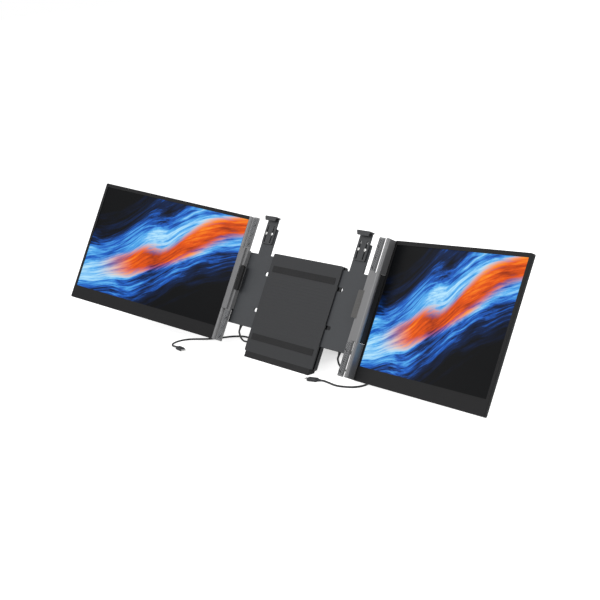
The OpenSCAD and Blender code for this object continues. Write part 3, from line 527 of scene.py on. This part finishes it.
def plug_mesh(name, matrix):
    """A plug's grip with its finger grooves, and the ringed relief where the lead leaves it."""
    wide, thick, lead = PLUG_WIDTH / 2, PLUG_THICKNESS / 2, LEAD_DIAMETER / 2
    sections = [(-1.5, lead + 0.05, lead + 0.05)]
    for i in range(RELIEF_RINGS):
        start = i * RELIEF_PITCH
        neck, swell = lead + 0.1 + 0.15 * i, lead + 0.35 + 0.2 * i
        sections += [(start, neck, neck), (start + 0.3, swell, swell), (start + 1.1, swell, swell)]

    base = RELIEF_RINGS * RELIEF_PITCH
    sunk = (wide - GROOVE_DEPTH, thick - GROOVE_DEPTH)
    sections += [(base, wide - 2.2, thick - 1.0), (base + 0.5, wide - 0.7, thick - 0.35)]
    sections += [(base + 1.4, wide, thick)]
    for i in range(GROOVES):
        start = base + 5.0 + GROOVE_PITCH * i
        sections += [(start, wide, thick), (start + 0.35, *sunk)]
        sections += [(start + 0.95, *sunk), (start + 1.3, wide, thick)]
    end = base + PLUG_LENGTH
    sections += [(end - 0.9, wide, thick), (end - 0.25, *sunk), (end, wide - 1.0, thick - 1.0)]

    def ring(section):
        along, half_width, half_thickness = section
        flat = max(half_width - half_thickness, 0.0)
        points = []
        for k in range(PLUG_STEPS):
            turn = 2 * pi * (k + 0.5) / PLUG_STEPS
            shift = flat if cos(turn) > 0 else -flat
            x, y = shift + half_thickness * cos(turn), half_thickness * sin(turn)
            points.append(Vector((x, y, along)) * MM)
        return points

    shape = bmesh.new()
    loft(shape, sections, ring)
    return finish_mesh(name, shape, matrix)


def add_plug(node, side, place):
    name = node + "_grip"
    mesh = plug_mesh(name, place)
    return add_piece(name, mesh, side + "_arm", "plug_plastic", instead_of=[node])


def lead_points(side):
    """From the plug in the arm's socket to the plug at the free end."""
    heights = (LEAD_TOP, LEAD_TOP - LEAD_DROP)
    straight = [mirrored(side) @ (Vector((SOCKET_X, SOCKET_Y, z)) * MM) for z in heights]
    return straight + [Vector(p) * MM for p in reversed(ROUTES[side])]


def lead_curve(name, points):
    data = bpy.data.curves.new(name, "CURVE")
    data.dimensions = "3D"
    data.bevel_depth = LEAD_DIAMETER / 2 * MM
    data.bevel_resolution = 5
    data.resolution_u = 8
    data.use_fill_caps = True
    spline = data.splines.new("BEZIER")
    spline.bezier_points.add(len(points) - 1)
    for bezier, point in zip(spline.bezier_points, points):
        bezier.co = point
        bezier.handle_left_type = bezier.handle_right_type = "AUTO"
    return data


def add_lead(side):
    name = side + "_lead_jacket"
    points = lead_points(side)
    curve = lead_curve(name, points)
    lead = add_piece(name, curve, side + "_arm", "lead_jacket", instead_of=[side + "_lead"])
    lying = (
        moved(*ROUTES[side][0])
        @ Matrix.Rotation(FREE_PLUG_TURN[side], 4, "Z")
        @ Matrix.Rotation(-pi / 2, 4, "Y")
        @ Matrix.Rotation(pi / 2, 4, "Z")
    )
    hanging = mirrored(side) @ moved(SOCKET_X, SOCKET_Y, LEAD_TOP)
    free_plug = add_plug(side + "_laptop_plug", side, lying)
    port_plug = add_plug(side + "_port_plug", side, hanging)


# ---- Raised and turned details ----

BAR_STEPS = 24
TURNED_STEPS = 32


def relief(name, matrix, size, grid, rise):
    """A slab with a flat back at y = 0 whose front stands out by rise(x, z)."""
    width, height = size
    columns, rows = grid
    shape = bmesh.new()
    front = []
    for i in range(columns + 1):
        x = width * i / columns
        heights = [height * j / rows for j in range(rows + 1)]
        front.append([shape.verts.new(Vector((x, -rise(x, z), z)) * MM) for z in heights])
    for near, far in zip(front, front[1:]):
        for corners in zip(near, far, far[1:], near[1:]):
            shape.faces.new(corners)
    border = [column[0] for column in front] + front[-1][1:]
    border += [column[-1] for column in reversed(front[:-1])] + front[0][-2:0:-1]
    back = [shape.verts.new((vertex.co.x, 0, vertex.co.z)) for vertex in border]
    close_band(shape, border, back)
    shape.faces.new(back)
    return finish_mesh(name, shape, matrix)


def raised_bar(shape, x, z, width, height, rise, corner):
    """A bar with round corners that stands out of the x-z plane towards -y."""
    soft = min(rise * 0.7, corner * 0.5)
    sections = [(0, 0), (rise - soft, 0), (rise - soft * 0.3, soft * 0.3), (rise, soft)]

    def ring(section):
        out, inset = section
        reach = corner - inset
        points = []
        for k in range(BAR_STEPS):
            turn = 2 * pi * (k + 0.5) / BAR_STEPS
            side_x = (width / 2 - corner) * (1 if cos(turn) > 0 else -1)
            side_z = (height / 2 - corner) * (1 if sin(turn) > 0 else -1)
            px, pz = x + side_x + reach * cos(turn), z + side_z + reach * sin(turn)
            points.append(Vector((px, -out, pz)) * MM)
        return points

    loft(shape, sections, ring)


def add_bars(name, matrix, body, slot, bars, finish=None):
    """Bars on one face, each with its middle, width, height, rise and corner."""
    shape = bmesh.new()
    for bar in bars:
        raised_bar(shape, *bar)
    add_piece(name, finish_mesh(name, shape, matrix), body, slot, finish)


def turned(shape, place, profile, recess=()):
    """Turns a profile of heights and radii round z, then goes down into a cross recess."""
    sections = [(height, radius, False) for height, radius in profile]
    sections += [(height, radius, True) for height, radius in recess]

    def ring(section):
        height, radius, cross = section
        points = []
        for k in range(TURNED_STEPS):
            turn = 2 * pi * k / TURNED_STEPS
            reach = radius * (0.36 + 0.64 * abs(cos(2 * turn)) ** 6) if cross else radius
            points.append(place @ (Vector((reach * cos(turn), reach * sin(turn), height)) * MM))
        return points

    loft(shape, sections, ring)


def add_screws(name, body, node, kinds):
    """Pan heads with a cross recess, on their shanks. A kind is its sizes and its places."""
    shape = bmesh.new()
    for (radius, height, shank, length), places in kinds:
        deep = min(height * 0.65, radius * 0.4)
        profile = [
            (-length, shank * 0.7),
            (-length + 0.4, shank),
            (0, shank),
            (0, radius * 0.97),
            (height * 0.12, radius),
            (height * 0.5, radius),
            (height * 0.8, radius * 0.9),
            (height, radius * 0.7),
        ]
        recess = [(height, radius * 0.62), (height - deep, radius * 0.45)]
        for place in places:
            turned(shape, place, profile, recess)
    add_piece(name, finish_mesh(name, shape), body, "steel", instead_of=[node])


def spots(xs, y, zs):
    return [moved(x, y, z) for x in xs for z in zs]


def from_edges(x, z, size):
    """How far a point of a slab is from the nearest of its edges."""
    width, height = size
    return min(x, width - x, z, height - z)


# ---- Arms ----

# Screws: head radius and height, shank radius and length.
BLOCK_SCREW = (2.6, 1.3, 1.5, 7.1)
RAIL_SCREW = (1.9, 1.0, 1.0, 6.5)
GUIDE_SCREW = (2.8, 0.5, 1.5, 5.7)
BLOCK_SCREW_X, BLOCK_SCREW_LEVELS = 195.8, [85, 124, 163]
RAIL_SCREW_X, RAIL_SCREW_LEVELS = 184.8, [75, 173]
GUIDE_SCREW_XS, GUIDE_SCREW_LEVEL = [131, 149], 221
GUIDE_HEAD_BACK = 0.6

STRIP_INSET = 0.8
STRIP_WIDTH = RAIL_WIDTH - 2 * STRIP_INSET
STRIP_GRID = (26, 150)
STRIPS = {"low": (3, 57), "high": (188, 56)}  # bottom and height
STRIP_SEAM = 0.35  # half the width of the seam between the rows of strands
STRAND_PITCH = 3.4
STRAND_SLANT = 5.2
NOTCH_PITCH, NOTCH_SLANT, NOTCH_HALF = 18, 0.9, 0.9

SIDE_CLIP_FACE = -7.3
SIDE_RIBS, SIDE_RIB_PITCH, SIDE_RIB_BOTTOM = 7, 5, 111.5
SIDE_RIB_SPAN = {"left": (182, 4.6), "right": (184.5, 8.5)}  # middle and width
TOP_CLIP_X = 140
TOP_CLIP_FACE, TOP_CLIP_ROOF = -4.6, 253.4
TOP_RIDGES, TOP_RIDGE_PITCH, TOP_RIDGE_WIDTH = 3, 2.3, 27
# Bars: height, rise and corner.
SIDE_RIB = (1.7, 0.25, 0.8)
TOP_RIDGE = (1.1, 0.3, 0.5)


def strand_height(x, z):
    """Two rows of slanting strands that meet in a seam, the inner one notched at intervals."""
    middle = STRIP_WIDTH / 2
    off = abs(x - middle)
    strand = 0.5 + 0.5 * cos(2 * pi * (z / STRAND_PITCH - off / STRAND_SLANT))
    rise = 0.2 + 0.38 * strand**0.7
    to_notch = abs((z + NOTCH_SLANT * x) % NOTCH_PITCH - NOTCH_PITCH / 2)
    if off < STRIP_SEAM:
        rise = 0.22
    elif x < middle and to_notch < NOTCH_HALF:
        rise = 0.05
    return rise * min(1, (middle - off) / 0.5 + 0.3)


def add_grip_strips(side):
    corner = mirrored(side) @ moved(RAIL_INNER + STRIP_INSET, RAIL_FRONT, 0)
    for place, (bottom, height) in STRIPS.items():
        name = f"{side}_grip_braid_{place}"
        size = (STRIP_WIDTH, height)
        mesh = relief(name, corner @ moved(0, 0, bottom), size, STRIP_GRID, strand_height)
        replaced = [side + "_grip_strips"] if place == "low" else []
        add_piece(name, mesh, side + "_arm", "grip_rubber", instead_of=replaced)


def add_arm_screws(side):
    upright = mirrored(side)
    block = spots([BLOCK_SCREW_X], ARM_BACK, BLOCK_SCREW_LEVELS)
    rail = spots([RAIL_SCREW_X], ARM_BACK, RAIL_SCREW_LEVELS)
    guides = spots(GUIDE_SCREW_XS, GUIDE_HEAD_BACK, [GUIDE_SCREW_LEVEL])
    kinds = [
        (BLOCK_SCREW, [upright @ spot @ FACING_BACK for spot in block]),
        (RAIL_SCREW, [upright @ spot @ FACING_BACK for spot in rail]),
        (GUIDE_SCREW, [upright @ spot @ FACING_FRONT for spot in guides]),
    ]
    add_screws(side + "_arm_screw_heads", side + "_arm", side + "_arm_screws", kinds)


def add_arm_details(side):
    add_grip_strips(side)
    add_arm_screws(side)

    face = mirrored(side) @ moved(0, SIDE_CLIP_FACE, 0)
    x, width = SIDE_RIB_SPAN[side]
    levels = [SIDE_RIB_BOTTOM + SIDE_RIB_PITCH * i for i in range(SIDE_RIBS)]
    ribs = [(x, z, width, *SIDE_RIB) for z in levels]
    # the ribs take their clip's colour: painted shade on the left, painted light on the right
    add_bars(side + "_side_clip_ribs", face, side + "_arm", "clip_plastic", ribs, SIDE_CLIPS_LIT_AND_SHADED[side])

    roof = mirrored(side) @ moved(0, TOP_CLIP_FACE, TOP_CLIP_ROOF) @ FACING_BACK
    levels = [TOP_RIDGE_PITCH * i for i in range(TOP_RIDGES)]
    ridges = [(TOP_CLIP_X, z, TOP_RIDGE_WIDTH, *TOP_RIDGE) for z in levels]
    add_bars(side + "_top_clip_ridges", roof, side + "_top_clip", "clip_plastic", ridges)


# ---- Screens ----

SCREEN_SCREW = (1.5, 0.7, 0.8, 4.0)
SCREEN_SCREW_SEAT = 5.8
LOW_SCREW_XS, LOW_SCREW_LEVEL = (20, 110, 284, 374), 12
HIGH_SCREW_XS, HIGH_SCREW_LEVEL = (20, 197, 374), 244.8
BUMPER_XS, BUMPER_LEVELS = [14, 380], [28, 230]
BUMPER_PROFILE = [
    (0, 3.9), (0.5, 4.0), (0.9, 3.75), (1.12, 3.2), (1.2, 2.5), (1.08, 2.1), (1.08, 1.4), (1.18, 1.0),
]
BACK_PANEL_LEVEL, BACK_PANEL_WIDTH = 140, 316
BACK_PANEL = (168, 0.35, 9)
LOUVRES, LOUVRE_PITCH, LOUVRE_START, LOUVRE_LEVEL = 25, 4, 149, 38
LOUVRE_WIDTH = 1.9
LOUVRE = (15, 0.55, 0.9)
CAP_PROFILE = [(0, 3.5), (0.15, 4.0), (0.3, 3.95), (0.5, 3.3)]
CAP_SUNK = 0.05


def add_screen_details(side):
    body = side + "_screen"
    screen = at_screen(side)
    low = [moved(x, SCREEN_SCREW_SEAT, LOW_SCREW_LEVEL) for x in LOW_SCREW_XS]
    high = [moved(x, SCREEN_SCREW_SEAT, HIGH_SCREW_LEVEL) for x in HIGH_SCREW_XS]
    places = [screen @ spot @ FACING_BACK for spot in low + high]
    screws = [(SCREEN_SCREW, places)]
    add_screws(side + "_screen_screw_heads", body, side + "_screen_screws", screws)

    bumpers = bmesh.new()
    for spot in spots(BUMPER_XS, SCREEN_BACK, BUMPER_LEVELS):
        turned(bumpers, screen @ spot @ FACING_BACK, BUMPER_PROFILE)
    name = side + "_domed_bumpers"
    mesh = finish_mesh(name, bumpers)
    add_piece(name, mesh, body, "rubber", instead_of=[side + "_screen_bumpers"])

    behind = screen @ moved(0, SCREEN_BACK, 0) @ BACKWARDS
    panel = (SCREEN_WIDTH / 2, BACK_PANEL_LEVEL, BACK_PANEL_WIDTH, *BACK_PANEL)
    add_bars(side + "_back_panel", behind, body, "shell_plastic", [panel], WOVEN_BACK)
    xs = [LOUVRE_START + LOUVRE_PITCH * i for i in range(LOUVRES)]
    louvres = [(x, LOUVRE_LEVEL, LOUVRE_WIDTH, *LOUVRE) for x in xs]
    add_bars(side + "_vent_louvres", behind, body, "shell_plastic", louvres)

    cap = bmesh.new()
    turned(cap, at_hinge(side) @ moved(0, 0, LEAF_TOP - CAP_SUNK), CAP_PROFILE)
    name = side + "_hinge_cap"
    add_piece(name, finish_mesh(name, cap), body, "clip_plastic")


# ---- Housing and kickstand ----

HOUSING_SCREW = (2.8, 1.5, 1.2, 7.4)
HOUSING_SCREW_XS, HOUSING_SCREW_LEVELS = [-85, 85], [75, 145]
HOUSING_SCREW_RECESS = 1.6
PAD_SIZE, PAD_GRID, PAD_BACK = (190, 12), (60, 60), 0.8
PAD_LEVELS = {"low": 20, "high": 151}
PAD_RIB_PITCH = 2.4
FIELD_SIZE, FIELD_GRID, FIELD_BACK = (186, 108), (24, 216), 0.82
FIELD_BOTTOM = 37.5
FIELD_RIB_PITCH = 6
KICKSTAND_AXIS = (0, 16.8, 120)
KICKSTAND_ANGLE = radians(50)
KICKSTAND_FACE = 1.5
KICKSTAND_RIBS, KICKSTAND_RIB_PITCH, KICKSTAND_RIB_BOTTOM = 6, 4.5, -97
KICKSTAND_RIB_WIDTH, KICKSTAND_RIB_TAPER = 96, 6
KICKSTAND_RIB = (1.8, 0.45, 0.85)


def pad_height(x, z):
    ribs = 0.62 + 0.17 * cos(2 * pi * z / PAD_RIB_PITCH)
    return ribs * min(1, 0.6 + from_edges(x, z, PAD_SIZE) / 1.5)


def field_height(x, z):
    ribs = 0.16 + 0.2 * max(0.0, cos(2 * pi * z / FIELD_RIB_PITCH)) ** 3
    return ribs * min(1, 0.2 + from_edges(x, z, FIELD_SIZE) / 2)


def add_housing_details():
    for place, bottom in PAD_LEVELS.items():
        name = f"lid_pad_{place}"
        corner = LEAN @ moved(-PAD_SIZE[0] / 2, PAD_BACK, bottom)
        mesh = relief(name, corner, PAD_SIZE, PAD_GRID, pad_height)
        replaced = ["lid_pads"] if place == "low" else []
        add_piece(name, mesh, "housing", "rubber", instead_of=replaced)

    name = "housing_ribbed_field"
    corner = LEAN @ moved(-FIELD_SIZE[0] / 2, FIELD_BACK, FIELD_BOTTOM)
    field = relief(name, corner, FIELD_SIZE, FIELD_GRID, field_height)
    add_piece(name, field, "housing", "housing_plastic")

    seat = HOUSING_BACK - HOUSING_SCREW_RECESS
    corners = spots(HOUSING_SCREW_XS, seat, HOUSING_SCREW_LEVELS)
    screws = [(HOUSING_SCREW, [LEAN @ spot @ FACING_BACK for spot in corners])]
    add_screws("housing_screw_heads", "housing", "housing_screws", screws)

    stand = LEAN @ moved(*KICKSTAND_AXIS) @ Matrix.Rotation(KICKSTAND_ANGLE, 4, "X")
    face = stand @ moved(0, KICKSTAND_FACE, 0) @ BACKWARDS
    ribs = []
    for i in range(KICKSTAND_RIBS):
        level = KICKSTAND_RIB_BOTTOM + KICKSTAND_RIB_PITCH * i
        ribs.append((0, level, KICKSTAND_RIB_WIDTH - KICKSTAND_RIB_TAPER * i, *KICKSTAND_RIB))
    add_bars("kickstand_ribs", face, "kickstand", "stand_plastic", ribs)


# ---- Nodes that stay ----

SOFTENED = {  # edge radius
    "housing_front": 0.6, "housing_rear": 1.2, "housing_foot": 0.8,
    "kickstand": 0.7, "kickstand_foot": 0.6, "kickstand_pin": 0.2,
    "arm_plate": 0.4, "side_rail": 0.5, "hinge_block": 0.6, "hinge_pin": 0.3,
    "side_clip": 0.4, "side_clip_pad": 0.15, "top_clip": 0.5, "top_clip_pad": 0.15,
    "port_box": 0.8, "usb_port": 0.08, "plug_tip": 0.1,
    "front_frame": 0.35, "rear_shell": 0.9, "driver_board": 0.1, "hinge_leaves": 0.4,
    "power_button": 0.25, "menu_rocker": 0.25,
}
FLAT_WITHIN = radians(0.5)
EDGE_FROM = radians(35)


def soften(node, radius):
    """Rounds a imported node's sharp edges without touching its mesh."""
    flat = node.modifiers.new("flat_faces", "DECIMATE")
    flat.decimate_type = "DISSOLVE"
    flat.angle_limit = FLAT_WITHIN
    bevel = node.modifiers.new("edges", "BEVEL")
    bevel.width = radius * MM
    bevel.segments = 2
    bevel.limit_method = "ANGLE"
    bevel.angle_limit = EDGE_FROM
    bevel.harden_normals = True
    bevel.use_clamp_overlap = True


def dress_nodes():
    slots = {part["node"]: part["material_slot"] for part in frame["record"]["subparts"]}
    for name, node in nodes.items():
        side, _, plain = name.partition("_")
        if side not in SIDES:
            plain = name
        if plain == "display":
            paint(node, PICTURES[side])
        elif plain == "side_clip":
            # painted shade on the left clip, painted light on the right one
            paint(node, SIDE_CLIPS_LIT_AND_SHADED[side])
        else:
            paint(node, FINISHES[slots[name]])
        if plain in SOFTENED:
            soften(node, SOFTENED[plain])


# ---- Stage ----

AMBIENT = 0.5
FLOOR_GLOW = 0.62
FLOOR_SIZE = 20
FLOOR_COLOUR = (0.85, 0.85, 0.85, 1)
LAMP_TARGET = (0, 0, 0.1)
LAMPS = {  # place, size and power in watts
    "key": ((-0.9, -2.2, 2.2), 1.6, 38),
    "fill": ((2.4, 0.2, 1.5), 1.8, 30),
    "back": ((0.3, 2.4, 2.0), 1.8, 22),
}


def add_lamp(name, place, size, power):
    data = bpy.data.lights.new(name, "AREA")
    data.shape, data.size, data.energy = "DISK", size, power
    lamp = bpy.data.objects.new(name, data)
    bpy.context.scene.collection.objects.link(lamp)
    lamp.location = place
    aim = Vector(LAMP_TARGET) - Vector(place)
    lamp.rotation_euler = aim.to_track_quat("-Z", "Y").to_euler()


def bright_for_camera(tree, lit, white):
    """The first shader for the light, the second where the camera, gloss or glass looks."""
    rays = tree.nodes.new("ShaderNodeLightPath")
    seen = rays.outputs["Is Camera Ray"]
    for kind in ("Is Glossy Ray", "Is Transmission Ray"):
        either = tree.nodes.new("ShaderNodeMath")
        either.operation = "MAXIMUM"
        tree.links.new(seen, either.inputs[0])
        tree.links.new(rays.outputs[kind], either.inputs[1])
        seen = either.outputs[0]
    mix = tree.nodes.new("ShaderNodeMixShader")
    tree.links.new(seen, mix.inputs[0])
    tree.links.new(lit, mix.inputs[1])
    tree.links.new(white, mix.inputs[2])
    return mix.outputs[0]


def add_world():
    world = bpy.data.worlds.new("studio")
    bpy.context.scene.world = world
    world.use_nodes = True
    tree = world.node_tree
    tree.nodes.clear()
    shades = []
    for strength in (AMBIENT, 1.0):
        shade = tree.nodes.new("ShaderNodeBackground")
        shade.inputs["Color"].default_value = (1, 1, 1, 1)
        shade.inputs["Strength"].default_value = strength
        shades.append(shade.outputs[0])
    out = tree.nodes.new("ShaderNodeOutputWorld")
    tree.links.new(bright_for_camera(tree, *shades), out.inputs["Surface"])


def add_floor():
    """A pale floor that the camera sees as white, apart from the object's shadow on it."""
    shape = bmesh.new()
    bmesh.ops.create_grid(shape, x_segments=1, y_segments=1, size=FLOOR_SIZE)
    mesh = bpy.data.meshes.new("floor")
    shape.to_mesh(mesh)
    shape.free()
    floor = bpy.data.objects.new("floor", mesh)
    bpy.context.scene.collection.objects.link(floor)
    finish = Finish("pale_floor", FLOOR_COLOUR, 0.9, Specular_IOR_Level=0.0)
    tree = finish.tree
    glow = tree.nodes.new("ShaderNodeEmission")
    glow.inputs["Strength"].default_value = FLOOR_GLOW
    both = tree.nodes.new("ShaderNodeAddShader")
    out = tree.nodes["Material Output"]
    lit = finish.shader.outputs[0]
    tree.links.new(lit, both.inputs[0])
    tree.links.new(glow.outputs[0], both.inputs[1])
    tree.links.new(bright_for_camera(tree, lit, both.outputs[0]), out.inputs["Surface"])
    paint(floor, finish)


def add_stage():
    bpy.context.scene.view_settings.view_transform = "Standard"
    add_world()
    add_floor()
    for name, (place, size, power) in LAMPS.items():
        add_lamp(name, place, size, power)


add_camera()
for each_side in SIDES:
    add_lead(each_side)
dress_nodes()
add_housing_details()
for each_side in SIDES:
    add_arm_details(each_side)
    add_screen_details(each_side)
add_stage()
